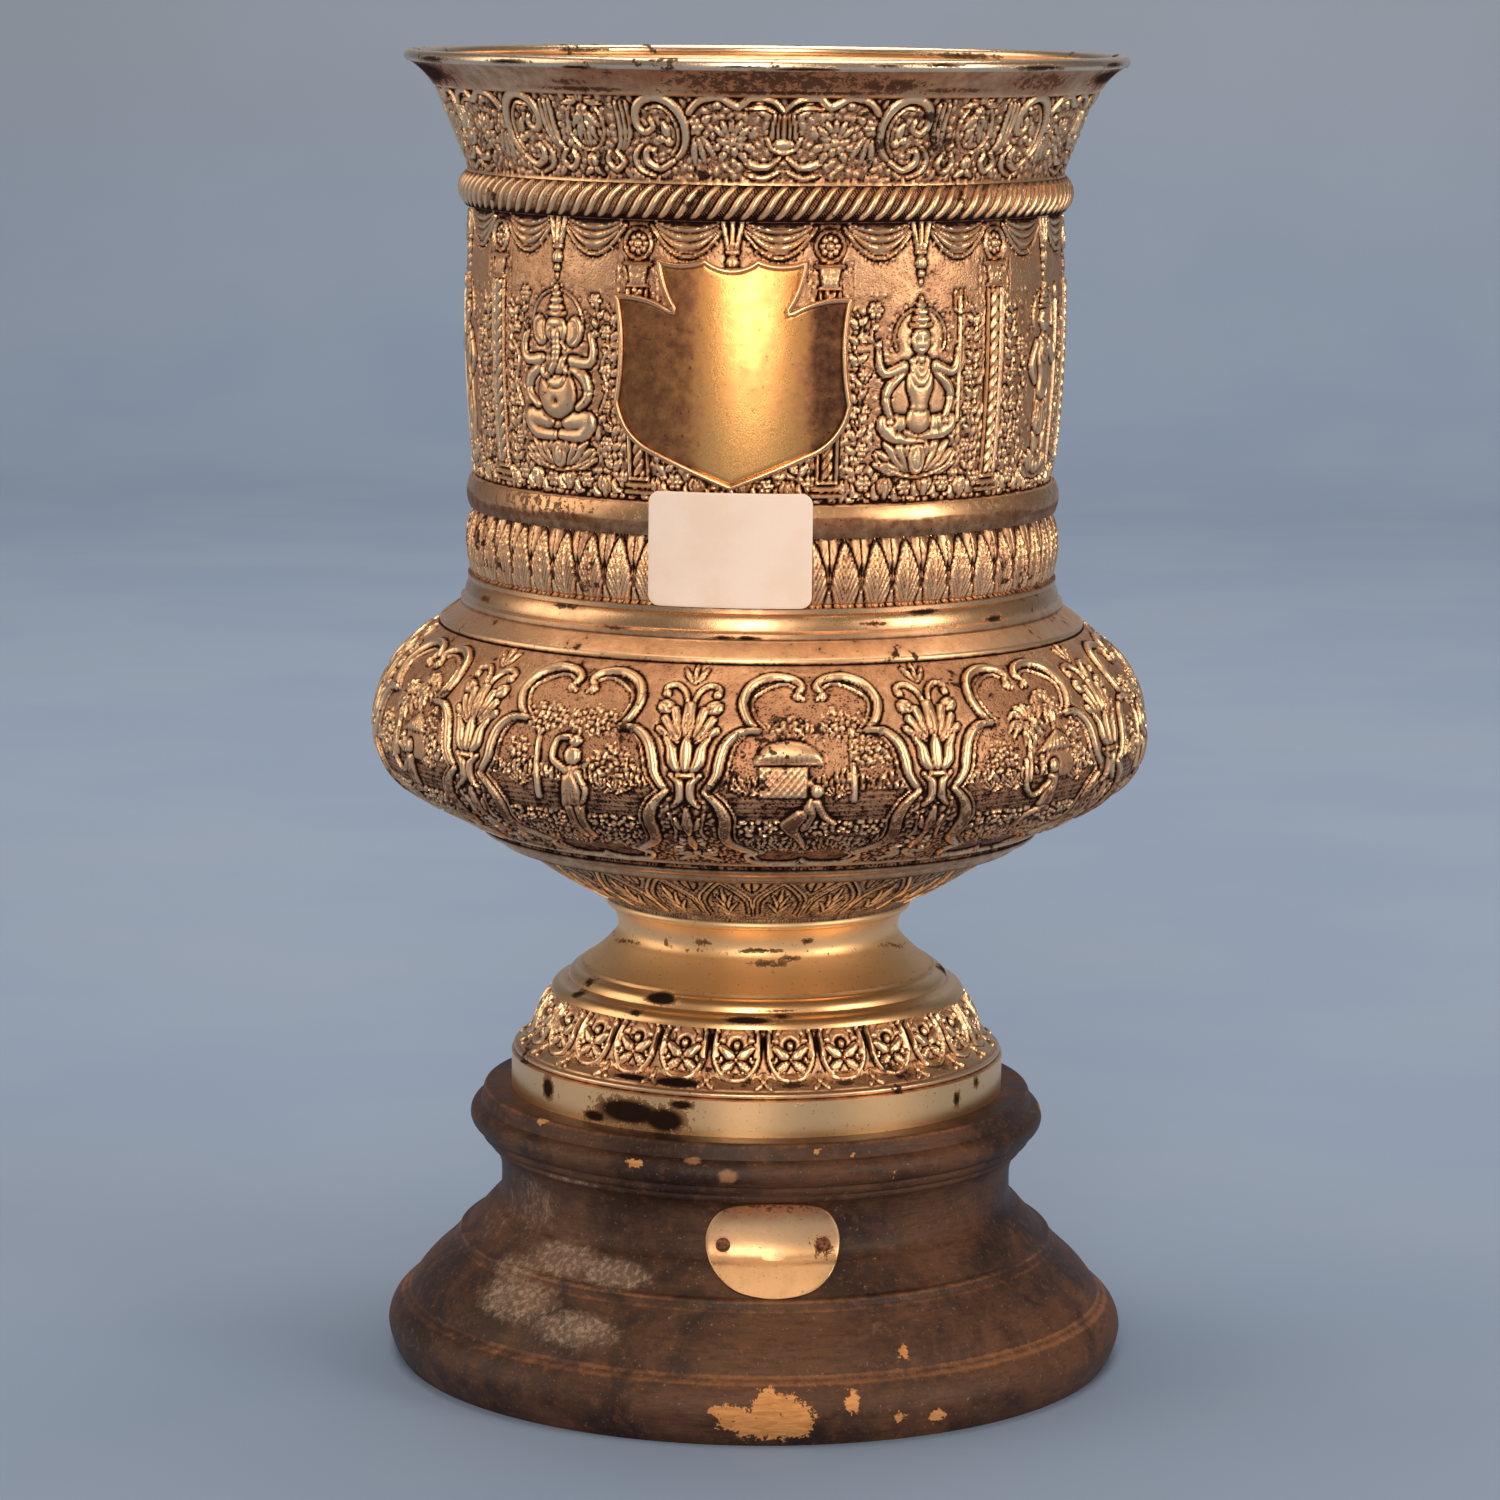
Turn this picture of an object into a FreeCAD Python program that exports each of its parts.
import FreeCAD, Part
import math
import os
import re

import Sketcher

# A silver cup trophy on a turned wooden plinth.  Millimetres, +Z up.  The origin is the centre of
# the plinth's underside and the shield on the barrel faces -Y.  Every silver piece stands on the
# one below it, so each piece is drawn from height 0 and lifted to its level in the stack.

SIZES = {
    # Plinth: one turned block of wood.
    "plinth_height": 61.0,
    "plinth_foot_radius": 80.0,
    "flange_radius": 82.8,
    "flange_belly_height": 7.0,
    "flange_top_radius": 78.6,
    "flange_top_height": 13.8,
    "slope_middle_radius": 72.0,
    "slope_middle_height": 21.6,
    "slope_top_radius": 67.0,
    "slope_top_height": 26.6,
    "bead_height": 1.5,
    "cavetto_radius": 65.4,
    "cavetto_bend_radius": 59.9,
    "cavetto_bend_height": 34.2,
    "plinth_neck_radius": 57.3,
    "neck_low_height": 37.0,
    "neck_high_height": 43.0,
    "reed_radius": 59.6,
    "reed_low_height": 47.8,
    "torus_radius": 62.1,
    "torus_low_height": 51.6,
    "torus_high_height": 57.6,
    "plinth_top_radius": 61.4,
    "groove_depth": 0.7,
    # Plaque, pinned to the neck of the plinth.
    "plaque_azimuth": 10.0,
    "plaque_thickness": 0.8,
    "plaque_half_width": 14.4,
    "plaque_lower_half_width": 13.4,
    "plaque_upper_half_width": 11.7,
    "plaque_top_half_width": 7.0,
    "plaque_foot_half_width": 6.8,
    "plaque_top_height": 47.05,
    "plaque_upper_height": 45.2,
    "plaque_wide_height": 39.9,
    "plaque_lower_height": 34.0,
    "plaque_foot_height": 29.0,
    "plaque_foot_sag": 0.8,
    "pin_angle": 10.7,
    "pin_height": 38.0,
    "pin_radius": 0.6,
    "pin_head_radius": 1.6,
    "pin_head_thickness": 0.8,
    "pin_depth": 6.0,
    "pin_clearance": 0.05,
    "pin_lift": 0.3,
    # Foot of the cup.
    "chased_wall": 1.6,
    "plain_wall": 1.2,
    "foot_radius": 55.2,
    "band_height": 7.9,
    "foot_edge_inset": 1.2,
    "foot_edge_height": 2.6,
    "foot_slope_height": 2.1,
    "dome_radius": 51.0,
    "dome_height": 9.3,
    "lower_step_radius": 46.4,
    "lower_step_height": 2.9,
    "upper_step_radius": 42.6,
    "upper_step_height": 3.3,
    "stem_foot_radius": 39.5,
    "stem_bend_radius": 32.6,
    "stem_bend_height": 5.9,
    "waist_radius": 31.4,
    "waist_height": 8.4,
    "stem_top_radius": 33.0,
    "stem_height": 13.0,
    "collar_height": 2.0,
    # Bowl.
    "calyx_foot_radius": 34.4,
    "calyx_radius": 56.2,
    "calyx_height": 13.3,
    "bowl_wire_height": 3.5,
    "bowl_wire_bead": 1.3,
    "bowl_foot_radius": 62.4,
    "bowl_lower_radius": 79.3,
    "bowl_lower_height": 8.7,
    "bowl_radius": 86.6,
    "bowl_belly_height": 21.9,
    "bowl_upper_radius": 80.0,
    "bowl_upper_height": 39.1,
    "bowl_height": 49.8,
    # Shoulder moulding and the leaf band above it.
    "shoulder_height": 6.3,
    "shoulder_width": 1.9,
    "shoulder_fillet": 1.1,
    "shoulder_step": 0.6,
    "leaf_foot_step": 0.2,
    "leaf_height": 14.8,
    # Barrel with its plain ring below and its rope above.
    "throat_radius": 64.4,
    "ring_height": 6.6,
    "barrel_height": 59.4,
    "barrel_flare": 1.4,
    "rope_height": 7.6,
    # Flared neck and lip.
    "flare_height": 23.7,
    "flare_bend_width": 7.1,
    "flare_bend_height": 18.2,
    "flare_width": 12.6,
    "lip_inset": 0.5,
    "lip_seat_width": 1.8,
    # Shield on the front of the barrel.
    "shield_foot_height": 6.7,
    "shield_toe_half_width": 16.2,
    "shield_toe_height": 6.8,
    "shield_side_height": 18.0,
    "shield_half_width": 25.2,
    "shield_shoulder_height": 40.4,
    "shield_neck_half_width": 12.3,
    "shield_neck_height": 37.4,
    "shield_tab_half_width": 16.0,
    "shield_scallop_half_width": 5.5,
    "shield_height": 48.4,
    "shield_border_width": 1.2,
    "shield_border_thickness": 1.4,
    "shield_plate_thickness": 0.7,
    # Paper label across the leaf band and the ring.
    "label_half_width": 17.3,
    "label_foot_height": 0.2,
    "label_height": 24.2,
    "label_corner": 2.4,
    "label_thickness": 0.2,
    "label_clearance": 0.05,
}

# Edges turn by these angles, in degrees, from one end to the other; plus bulges to the right of
# the way along the outline.
LIP_WIRE_ARC = 280
LEAF_ARC = 44

# Radii that follow the throat, where the leaf band meets the barrel.
LEAF_FOOT = "(throat_radius + leaf_foot_step)"
BOWL_MOUTH = f"({LEAF_FOOT} + shoulder_width)"
ROPE_SEAT = "(throat_radius + barrel_flare)"
LIP_SEAT = f"({ROPE_SEAT} + flare_width - lip_inset)"

doc = FreeCAD.newDocument("CupTrophy")
sheet = doc.addObject("Spreadsheet::Sheet", "Sizes")
for row, (name, number) in enumerate(SIZES.items(), start=1):
    sheet.set(f"A{row}", name)
    sheet.set(f"B{row}", str(number))
    sheet.setAlias(f"B{row}", name)
doc.recompute()


def bound(text):
    """The expression with every size name pointing at its cell of the sheet."""
    return re.sub(r"[a-z]+(?:_[a-z]+)+", lambda found: "Sizes." + found.group(), text)


def value(text):
    """The number that an expression over the size names gives."""
    return float(sheet.evalExpression(bound(text)))


# ---------------------------------------------------------------- drawing outlines


def arc_through(start, end, turn):
    """Circular arc between two points that turns by an angle, bulging right if it is positive.

    It is drawn anticlockwise, so a negative turn runs it from end to start.
    """
    if turn < 0:
        start, end, turn = end, start, -turn
    rise = math.tan(math.radians(turn) / 4) / 2
    middle_x = (start[0] + end[0]) / 2 + (end[1] - start[1]) * rise
    middle_y = (start[1] + end[1]) / 2 - (end[0] - start[0]) * rise
    points = [FreeCAD.Vector(x, y, 0) for x, y in (start, (middle_x, middle_y), end)]
    return Part.Arc(*points)


def place_vertex(sketch, edge, end, across, up):
    """Ties one end of an edge to the axes by two expressions."""
    for kind, text, axis in (("DistanceX", across, -2), ("DistanceY", up, -1)):
        if text == "0":
            sketch.addConstraint(Sketcher.Constraint("PointOnObject", edge, end, axis))
        else:
            tie = Sketcher.Constraint(kind, -1, 1, edge, end, value(text))
            index = sketch.addConstraint(tie)
            sketch.setExpression(f"Constraints[{index}]", bound(text))


def draw_loop(sketch, corners):
    """Closed outline of corners (across, up, turn of the edge to the next corner)."""
    spots = [(value(across), value(up)) for across, up, _ in corners]
    ends = []
    for i, (_, _, turn) in enumerate(corners):
        start, end = spots[i], spots[(i + 1) % len(spots)]
        if turn:
            edge = sketch.addGeometry(arc_through(start, end, turn))
            angle = Sketcher.Constraint("Angle", edge, math.radians(abs(turn)))
            sketch.addConstraint(angle)
        else:
            line = Part.LineSegment(FreeCAD.Vector(*start, 0), FreeCAD.Vector(*end, 0))
            edge = sketch.addGeometry(line)
        ends.append((edge, 1, 2) if turn >= 0 else (edge, 2, 1))
    for i, (across, up, _) in enumerate(corners):
        edge, first, last = ends[i]
        before, _, before_last = ends[i - 1]
        sketch.addConstraint(Sketcher.Constraint("Coincident", before, before_last, edge, first))
        place_vertex(sketch, edge, first, across, up)


def origin_plane(body, role):
    """One of a body's own origin planes."""
    return next(plane for plane in body.Origin.OriginFeatures if plane.Role == role)


def turned(name, corners, level="0"):
    """A body turned about the vertical axis from an outline of (radius, height, turn) corners."""
    body = doc.addObject("PartDesign::Body", name)
    sketch = body.newObject("Sketcher::SketchObject", name + "_outline")
    sketch.AttachmentSupport = (origin_plane(body, "XZ_Plane"), [""])
    sketch.MapMode = "FlatFace"
    draw_loop(sketch, corners)
    turn = body.newObject("PartDesign::Revolution", name + "_turning")
    turn.Profile = sketch
    turn.ReferenceAxis = (sketch, ["V_Axis"])
    turn.Angle = 360
    body.Tip = turn
    body.setExpression("Placement.Base.z", bound(level))
    return body


def shell(outer, wall):
    """Outline of sheet metal of even thickness inside its outer face.

    outer goes up the outside as (radius, height, turn, lean) corners, where lean is how far the
    face there tips up from the horizontal, in degrees.  Both edges of the sheet are cut level.
    """
    inner = []
    last = len(outer) - 1
    for i, (radius, height, _, lean) in enumerate(outer):
        if i in (0, last):
            spot = (f"{radius} - {wall} / cos({lean} deg)", height)
        else:
            spot = (f"{radius} - {wall} * cos({lean} deg)", f"{height} - {wall} * sin({lean} deg)")
        inner.append(spot)
    going_up = [corner[:3] for corner in outer]
    going_up[-1] = (outer[-1][0], outer[-1][1], 0)
    going_down = [(*inner[i], -outer[i - 1][2] if i else 0) for i in range(last, -1, -1)]
    return going_up + going_down


def sleeve(outer, thickness):
    """Outline of a skin that lies on an outer face of (radius, height, turn) corners."""
    going_up = [(f"{radius} + {thickness}", height, turn) for radius, height, turn in outer]
    going_up[-1] = (going_up[-1][0], going_up[-1][1], 0)
    last = len(outer) - 1
    going_down = [(*outer[i][:2], -outer[i - 1][2] if i else 0) for i in range(last, -1, -1)]
    return going_up + going_down


def mirrored(half):
    """A whole outline from its right half of (across, up, turn) corners, foot to top.

    A first corner on the centre line isn't repeated, and otherwise a foot edge closes the loop.
    """
    left = [
        (f"-({across})", up, half[i - 1][2] if i else 0)
        for i, (across, up, _) in enumerate(half)
        if across != "0"
    ]
    return half + left[::-1]


# ---------------------------------------------------------------- levels in the stack

stack = {}
top = "plinth_height"
for piece, rise in (
    ("foot_rim", "band_height"),
    ("foot_dome", "foot_edge_height + foot_slope_height + dome_height"),
    ("lower_step_ring", "lower_step_height"),
    ("upper_step_ring", "upper_step_height"),
    ("stem", "stem_height"),
    ("stem_collar", "collar_height"),
    ("calyx", "calyx_height"),
    ("bowl_wire", "bowl_wire_height"),
    ("bowl", "bowl_height"),
    ("shoulder_ring", "shoulder_height"),
    ("leaf_band", "leaf_height + ring_height / 2"),
    ("barrel", "ring_height / 2 + barrel_height + rope_height / 2"),
    ("neck_flare", "rope_height / 2 + flare_height"),
    ("lip_wire", "0"),
):
    stack[piece] = top
    top = f"{top} + {rise}"

# ---------------------------------------------------------------- plinth

neck_face = [
    ("cavetto_radius", "slope_top_height + bead_height", -8),
    ("cavetto_bend_radius", "cavetto_bend_height", -50),
    ("plinth_neck_radius", "neck_low_height", 0),
    ("plinth_neck_radius", "neck_high_height", -38),
    ("reed_radius", "reed_low_height", 0),
]

plinth_outline = [
    ("0", "0", 0),
    ("plinth_foot_radius", "0", 30),
    ("flange_radius", "flange_belly_height", 60),
    ("flange_top_radius", "flange_top_height", 0),
    ("flange_top_radius - groove_depth", "flange_top_height + groove_depth", 20),
    ("slope_middle_radius", "slope_middle_height", -8),
    ("slope_top_radius", "slope_top_height", 120),
    *neck_face[:-1],
    ("reed_radius", "reed_low_height", 100),
    ("reed_radius + groove_depth", "reed_low_height + bead_height", 100),
    ("torus_radius", "torus_low_height", 150),
    ("torus_radius", "torus_high_height", 0),
    ("plinth_top_radius", "plinth_height - groove_depth", 60),
    ("plinth_top_radius - groove_depth", "plinth_height", 0),
    ("0", "plinth_height", 0),
]
turned_block = turned("turned_block", plinth_outline)

# ---------------------------------------------------------------- plaque and its pins


def radial(radius, side):
    """Placement that points +Z outwards at a pin's azimuth, starting at a radius."""
    azimuth = value("plaque_azimuth") - 90 + side * value("pin_angle")
    outwards = FreeCAD.Rotation(FreeCAD.Vector(0, 1, 0), 90)
    round_about = FreeCAD.Rotation(FreeCAD.Vector(0, 0, 1), azimuth)
    spot = round_about.multVec(FreeCAD.Vector(value(radius), 0, value("pin_height")))
    return FreeCAD.Placement(spot, round_about.multiply(outwards))


def point_outwards(obj, radius, side):
    """Sets a pin or its drill along a radius and ties its place to the sheet."""
    obj.Placement = radial(radius, side)
    azimuth = f"(plaque_azimuth - 90 + {side} * pin_angle) * 1 deg"
    obj.setExpression("Placement.Base.x", bound(f"({radius}) * cos({azimuth})"))
    obj.setExpression("Placement.Base.y", bound(f"({radius}) * sin({azimuth})"))
    obj.setExpression("Placement.Base.z", bound("pin_height"))


PIN_TIP = "plinth_neck_radius - pin_depth"
PIN_SHANK = "pin_depth + plaque_thickness + pin_lift"
pin_outline = [
    ("0", "0", 0),
    ("pin_radius", "0", 0),
    ("pin_radius", PIN_SHANK, 0),
    ("pin_head_radius", PIN_SHANK, 50),
    ("pin_head_radius / 2", f"{PIN_SHANK} + pin_head_thickness", 0),
    ("0", f"{PIN_SHANK} + pin_head_thickness", 0),
]

pins = []
drills = []
for hand, side in (("left", -1), ("right", 1)):
    pin = turned(f"{hand}_pin", pin_outline)
    point_outwards(pin, PIN_TIP, side)
    pins.append(pin)
    drill = doc.addObject("Part::Cylinder", f"{hand}_drill")
    drill.setExpression("Radius", bound("pin_radius + pin_clearance"))
    drill.setExpression("Height", bound("2 * pin_depth"))
    point_outwards(drill, PIN_TIP, side)
    drills.append(drill)

plaque_pins = doc.addObject("Part::Compound", "plaque_pins")
plaque_pins.Links = pins
pin_holes = doc.addObject("Part::Compound", "pin_holes")
pin_holes.Links = drills

plinth = doc.addObject("Part::Cut", "plinth")
plinth.Base = turned_block
plinth.Tool = pin_holes


def flat_outline(name, loop_corners, foot="0"):
    """Sketch of a closed outline on the plane across the front, lifted to a height."""
    sketch = doc.addObject("Sketcher::SketchObject", name)
    sketch.Placement = FreeCAD.Placement(
        FreeCAD.Vector(0, 0, 0), FreeCAD.Rotation(FreeCAD.Vector(1, 0, 0), 90)
    )
    draw_loop(sketch, loop_corners)
    sketch.setExpression("Placement.Base.z", bound(foot))
    return sketch


def forward_block(name, outline, reach):
    """Solid swept from the vertical middle plane towards the front, -Y, by a length."""
    block = doc.addObject("Part::Extrusion", name)
    block.Base = outline
    block.DirMode = "Custom"
    block.Dir = FreeCAD.Vector(0, -1, 0)
    block.setExpression("LengthFwd", bound(reach))
    block.Solid = True
    return block


def overlap(name, first, second):
    """The space that two solids share."""
    common = doc.addObject("Part::Common", name)
    common.Base = first
    common.Tool = second
    return common


plaque_half = [
    ("0", "plaque_foot_height - plaque_foot_sag", 13),
    ("plaque_foot_half_width", "plaque_foot_height", 47),
    ("plaque_lower_half_width", "plaque_lower_height", 39),
    ("plaque_half_width", "plaque_wide_height", 34),
    ("plaque_upper_half_width", "plaque_upper_height", 36),
    ("plaque_top_half_width", "plaque_top_height", 15),
]
plaque_skin = turned("plaque_skin", sleeve(neck_face, "plaque_thickness"))
plaque_outline = flat_outline("plaque_outline", mirrored(plaque_half))
plaque_block = forward_block("plaque_block", plaque_outline, "flange_radius")
plaque_blank = overlap("plaque_blank", plaque_skin, plaque_block)
plaque_blank.Placement.Rotation = FreeCAD.Rotation(FreeCAD.Vector(0, 0, 1), value("plaque_azimuth"))
plaque = doc.addObject("Part::Cut", "plaque")
plaque.Base = plaque_blank
plaque.Tool = pin_holes

# ---------------------------------------------------------------- foot of the cup

foot_rim = turned("foot_rim", shell([
    ("foot_radius", "0", 0, 0),
    ("foot_radius", "band_height", 0, 0),
], "plain_wall"), stack["foot_rim"])

foot_dome = turned("foot_dome", shell([
    ("foot_radius", "0", 48, 0),
    ("foot_radius - foot_edge_inset", "foot_edge_height", 0, 50),
    ("dome_radius", "foot_edge_height + foot_slope_height", 33, 32),
    ("lower_step_radius", "foot_edge_height + foot_slope_height + dome_height", 0, 43),
], "chased_wall"), stack["foot_dome"])

lower_step_ring = turned("lower_step_ring", [
    ("upper_step_radius - 2 * plain_wall", "0", 0),
    ("lower_step_radius", "0", 75),
    ("upper_step_radius + plain_wall", "lower_step_height * 3 / 4", 0),
    ("upper_step_radius", "lower_step_height", 0),
    ("upper_step_radius - 2 * plain_wall", "lower_step_height", 0),
], stack["lower_step_ring"])

upper_step_ring = turned("upper_step_ring", [
    ("stem_foot_radius - 3 * plain_wall", "0", 0),
    ("upper_step_radius", "0", 75),
    ("stem_foot_radius + plain_wall / 2", "upper_step_height * 3 / 4", 0),
    ("stem_foot_radius", "upper_step_height", 0),
    ("stem_foot_radius - 3 * plain_wall", "upper_step_height", 0),
], stack["upper_step_ring"])

stem = turned("stem", shell([
    ("stem_foot_radius", "0", -20, 50),
    ("stem_bend_radius", "stem_bend_height", -45, 33),
    ("waist_radius", "waist_height", -38, 0),
    ("stem_top_radius", "stem_height", 0, -30),
], "plain_wall"), stack["stem"])

stem_collar = turned("stem_collar", [
    ("waist_radius", "0", 0),
    ("stem_top_radius", "0", 140),
    ("calyx_foot_radius - plain_wall / 2", "collar_height", 0),
    ("waist_radius", "collar_height", 0),
], stack["stem_collar"])

# ---------------------------------------------------------------- bowl

CALYX_LEAN = 58
BOWL_FOOT_LEAN = 64
calyx_edge = f"calyx_radius - chased_wall / cos({CALYX_LEAN} deg)"

calyx = turned("calyx", [
    ("0", "0", 0),
    ("calyx_foot_radius", "0", 8),
    ("calyx_radius", "calyx_height", 0),
    (calyx_edge, "calyx_height", -8),
    ("calyx_foot_radius - chased_wall", "chased_wall", 0),
    ("0", "chased_wall", 0),
], stack["calyx"])

bowl_wire = turned("bowl_wire", [
    (calyx_edge, "0", 0),
    ("calyx_radius", "0", 110),
    ("calyx_radius + 2 * bowl_wire_bead", "bowl_wire_bead", 0),
    ("bowl_foot_radius - 2 * bowl_wire_bead", "bowl_wire_height - bowl_wire_bead", 110),
    ("bowl_foot_radius", "bowl_wire_height", 0),
    (f"bowl_foot_radius - chased_wall / cos({BOWL_FOOT_LEAN} deg)", "bowl_wire_height", 0),
], stack["bowl_wire"])

bowl = turned("bowl", shell([
    ("bowl_foot_radius", "0", 9, -BOWL_FOOT_LEAN),
    ("bowl_lower_radius", "bowl_lower_height", 57, -57),
    ("bowl_radius", "bowl_belly_height", 41, 0),
    ("bowl_upper_radius", "bowl_upper_height", 10, 44),
    (BOWL_MOUTH, "bowl_height", 0, 52),
], "chased_wall"), stack["bowl"])

# ---------------------------------------------------------------- shoulder and leaf band

SHOULDER_TOP = "shoulder_height - shoulder_fillet"
shoulder_ring = turned("shoulder_ring", [
    (f"{LEAF_FOOT} - chased_wall", "0", 0),
    (f"{BOWL_MOUTH} + shoulder_step / 2", "0", 0),
    (f"{BOWL_MOUTH} + shoulder_step / 2", "shoulder_fillet", 0),
    (f"{BOWL_MOUTH} - shoulder_step", "shoulder_fillet + shoulder_step", 45),
    (LEAF_FOOT, SHOULDER_TOP, 0),
    (f"{LEAF_FOOT} + shoulder_step", SHOULDER_TOP, 0),
    (f"{LEAF_FOOT} + shoulder_step", "shoulder_height", 0),
    (f"{LEAF_FOOT} - chased_wall", "shoulder_height", 0),
], stack["shoulder_ring"])

leaf_band = turned("leaf_band", shell([
    (LEAF_FOOT, "0", LEAF_ARC, 0),
    ("throat_radius", "leaf_height", 0, 0),
    ("throat_radius", "leaf_height + ring_height / 2", 0, 0),
], "chased_wall"), stack["leaf_band"])

# ---------------------------------------------------------------- barrel, ring and rope

barrel_face = [
    ("throat_radius", "ring_height / 2", 11),
    (ROPE_SEAT, "ring_height / 2 + barrel_height", 0),
]

barrel = turned("barrel", shell([
    ("throat_radius", "0", 0, 0),
    (*barrel_face[0], 0),
    (*barrel_face[1], 0),
    (ROPE_SEAT, "ring_height / 2 + barrel_height + rope_height / 2", 0, 0),
], "chased_wall"), stack["barrel"])

barrel_ring = turned("barrel_ring", [
    ("throat_radius", "0", 0),
    ("throat_radius + ring_height / 16", "0", 50),
    ("throat_radius + ring_height / 16", "ring_height", 0),
    ("throat_radius", "ring_height", 0),
], f"{stack['barrel']} - ring_height / 2")

rope_band = turned("rope_band", [
    (ROPE_SEAT, "0", 100),
    (ROPE_SEAT, "rope_height", 0),
], f"{stack['neck_flare']} - rope_height / 2")

# ---------------------------------------------------------------- flared neck and lip

neck_flare = turned("neck_flare", shell([
    (ROPE_SEAT, "0", 0, 0),
    (ROPE_SEAT, "rope_height / 2", -10, 0),
    (f"{ROPE_SEAT} + flare_bend_width", "rope_height / 2 + flare_bend_height", -30, -26),
    (f"{ROPE_SEAT} + flare_width", "rope_height / 2 + flare_height", 0, -58),
], "chased_wall"), stack["neck_flare"])

lip_wire = turned("lip_wire", [
    (f"{LIP_SEAT} - lip_seat_width / 2", "0", 0),
    (f"{LIP_SEAT} + lip_seat_width / 2", "0", LIP_WIRE_ARC),
], stack["lip_wire"])

# ---------------------------------------------------------------- shield on the barrel

shield_half = [
    ("0", "0", 4),
    ("shield_toe_half_width", "shield_toe_height", 62),
    ("shield_half_width", "shield_side_height", -22),
    ("shield_half_width", "shield_shoulder_height", 40),
    ("shield_neck_half_width", "shield_neck_height", 32),
    ("shield_tab_half_width", "shield_height", -46),
    ("shield_scallop_half_width", "shield_height", -80),
]
shield_outline = flat_outline(
    "shield_outline", mirrored(shield_half), f"{stack['barrel']} + shield_foot_height"
)
shield_inside = doc.addObject("Part::Offset2D", "shield_inside")
shield_inside.Source = shield_outline
shield_inside.setExpression("Value", bound("-shield_border_width"))

border_block = forward_block("border_block", shield_outline, "flange_radius")
plate_block = forward_block("plate_block", shield_inside, "flange_radius")
border_skin = turned(
    "border_skin", sleeve(barrel_face, "shield_border_thickness"), stack["barrel"]
)
plate_skin = turned("plate_skin", sleeve(barrel_face, "shield_plate_thickness"), stack["barrel"])

border_blank = overlap("border_blank", border_skin, border_block)
shield_border = doc.addObject("Part::Cut", "shield_border")
shield_border.Base = border_blank
shield_border.Tool = plate_block
shield_plate = overlap("shield_plate", plate_skin, plate_block)

# ---------------------------------------------------------------- paper label

# The label lies on the widest circle of the leaf band's bulging face.
LABEL_SEAT = (
    f"({LEAF_FOOT} + throat_radius) / 2 + leaf_height / 2 * tan({LEAF_ARC / 4} deg)"
    " + label_clearance"
)
label_face = [(LABEL_SEAT, "0", 0), (LABEL_SEAT, "leaf_height + 2 * ring_height", 0)]
label_half = [
    ("label_half_width - label_corner", "0", 90),
    ("label_half_width", "label_corner", 0),
    ("label_half_width", "label_height - label_corner", 90),
    ("label_half_width - label_corner", "label_height", 0),
]
label_outline = flat_outline(
    "label_outline", mirrored(label_half), f"{stack['leaf_band']} + label_foot_height"
)
label_block = forward_block("label_block", label_outline, "flange_radius")
label_skin = turned("label_skin", sleeve(label_face, "label_thickness"), stack["leaf_band"])
paper_label = overlap("paper_label", label_skin, label_block)

# ---------------------------------------------------------------- build, check and write

parts = [
    plinth, plaque, plaque_pins, foot_rim, foot_dome, lower_step_ring, upper_step_ring, stem,
    stem_collar, calyx, bowl_wire, bowl, shoulder_ring, leaf_band, barrel_ring, barrel, rope_band,
    neck_flare, lip_wire, shield_plate, shield_border, paper_label,
]
for part in parts:
    part.Label = part.Name

doc.recompute()
for obj in doc.Objects:
    if "Invalid" in obj.State or "Error" in obj.State:
        raise ValueError(f"{obj.Name} did not build: {obj.State}")
for part in parts:
    if part.Shape.isNull() or not part.Shape.isValid() or part.Shape.Volume <= 0:
        raise ValueError(f"{part.Label} has no valid solid")

os.makedirs("parts", exist_ok=True)
for part in parts:
    part.Shape.exportStep(os.path.join("parts", part.Label + ".step"))
    box = part.Shape.optimalBoundingBox()
    print(
        f"{part.Label}: {len(part.Shape.Solids)} solid, volume {part.Shape.Volume:.1f},"
        f" z {box.ZMin:.2f} to {box.ZMax:.2f}, reach {max(box.XMax, -box.YMin):.2f}"
    )
